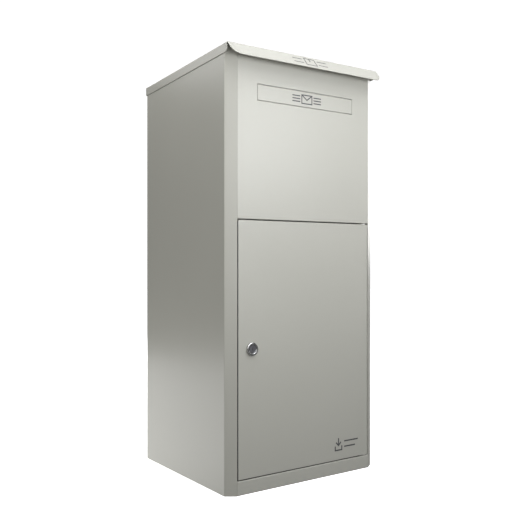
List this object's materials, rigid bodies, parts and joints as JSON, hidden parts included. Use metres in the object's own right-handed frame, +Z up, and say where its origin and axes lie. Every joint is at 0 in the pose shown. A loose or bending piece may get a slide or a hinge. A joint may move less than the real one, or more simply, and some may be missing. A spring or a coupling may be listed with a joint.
{
  "type": "parcel drop box",
  "caption": "Free-standing sheet-steel parcel drop box with sloping lift-up lid, letter flap, lockable hinged door, chamfered front corners and a swinging tray that shuts the shaft.",
  "frame": {"origin": "on the floor under the middle of the body, which is the centre of the four floor anchor holes", "axes": "+Z up, -Y out of the front face, +X to the right seen from the front"},
  "size_m": [0.4684, 0.4566, 1.057],
  "materials": {
    "paint": "satin warm light-grey powder coat",
    "zinc": "galvanised",
    "steel": "bright plated",
    "lock_chrome": "polished",
    "lock_core": "dark satin",
    "nylon": "matt",
    "rubber": "matt"
  },
  "bodies": {
    "cabinet": {"left_side_panel": "paint", "right_side_panel": "paint", "rear_strip_left": "paint", "rear_strip_right": "paint", "back_panel": "paint", "base_plate": "paint", "floor_mat": "rubber", "front_sill": "paint", "upper_front_panel": "paint", "letter_chute": "zinc", "flap_pin": "steel", "flap_bracket_left": "zinc", "flap_bracket_right": "zinc", "hinge_fixed_leaf": "zinc", "hinge_pin": "steel", "tray_bracket_left": "zinc", "tray_bracket_right": "zinc", "tray_axle_left": "steel", "tray_axle_right": "steel", "door_pin_lower": "steel", "door_pin_upper": "steel"},
    "lid": {"lid_cover": "paint", "lid_stiffener": "zinc", "bumper_front_left": "rubber", "bumper_front_right": "rubber", "bumper_rear_left": "rubber", "bumper_rear_right": "rubber", "lid_arm_left": "zinc", "lid_arm_right": "zinc", "hinge_moving_leaf": "zinc", "link_pin_upper_left": "steel", "link_pin_upper_right": "steel"},
    "tray": {"drop_tray": "zinc", "tray_bush_left": "nylon", "tray_bush_right": "nylon", "link_pin_lower_left": "steel", "link_pin_lower_right": "steel"},
    "link_left": {"link_left": "zinc"},
    "link_right": {"link_right": "zinc"},
    "door": {"door_panel": "paint", "door_stiffener": "zinc", "door_bush_lower": "nylon", "door_bush_upper": "nylon", "lock_housing": "lock_chrome", "lock_nut": "steel"},
    "lock_cylinder": {"lock_plug": "lock_core", "lock_cam": "steel", "cam_screw": "steel"},
    "flap": {"letter_flap": "paint", "flap_spring": "steel"}
  },
  "joints": [
    {"name": "lid_hinge", "type": "hinge", "parent": "cabinet", "child": "lid", "pos_m": [0, 0.2152, 1.004], "axis": [-1, 0, 0], "range_deg": [0, 80]},
    {"name": "tray_swing", "type": "hinge", "parent": "cabinet", "child": "tray", "pos_m": [0, 0.182, 0.7], "axis": [-1, 0, 0], "range_deg": [0, 80]},
    {"name": "link_left_swing", "type": "hinge", "parent": "lid", "child": "link_left", "pos_m": [-0.21, 0.15009, 0.94936], "axis": [-1, 0, 0], "range_deg": [-80, 0]},
    {"name": "link_right_swing", "type": "hinge", "parent": "lid", "child": "link_right", "pos_m": [0.21, 0.15009, 0.94936], "axis": [-1, 0, 0], "range_deg": [-80, 0]},
    {"name": "door_hinge", "type": "hinge", "parent": "cabinet", "child": "door", "pos_m": [0.194, -0.204, 0.341], "axis": [0, 0, 1], "range_deg": [0, 110]},
    {"name": "lock_turn", "type": "hinge", "parent": "door", "child": "lock_cylinder", "pos_m": [-0.166, -0.2, 0.341], "axis": [0, 1, 0], "range_deg": [0, 90]},
    {"name": "flap_swing", "type": "hinge", "parent": "cabinet", "child": "flap", "pos_m": [0, -0.2055, 0.967], "axis": [1, 0, 0], "range_deg": [0, 65], "stiffness_Nm_per_rad": 0.05, "springref_deg": -20.05}
  ],
  "couplings": [
    {"joint": "tray_swing", "follows": "lid_hinge", "ratio": 1},
    {"joint": "link_left_swing", "follows": "lid_hinge", "ratio": -1},
    {"joint": "link_right_swing", "follows": "lid_hinge", "ratio": -1}
  ]
}
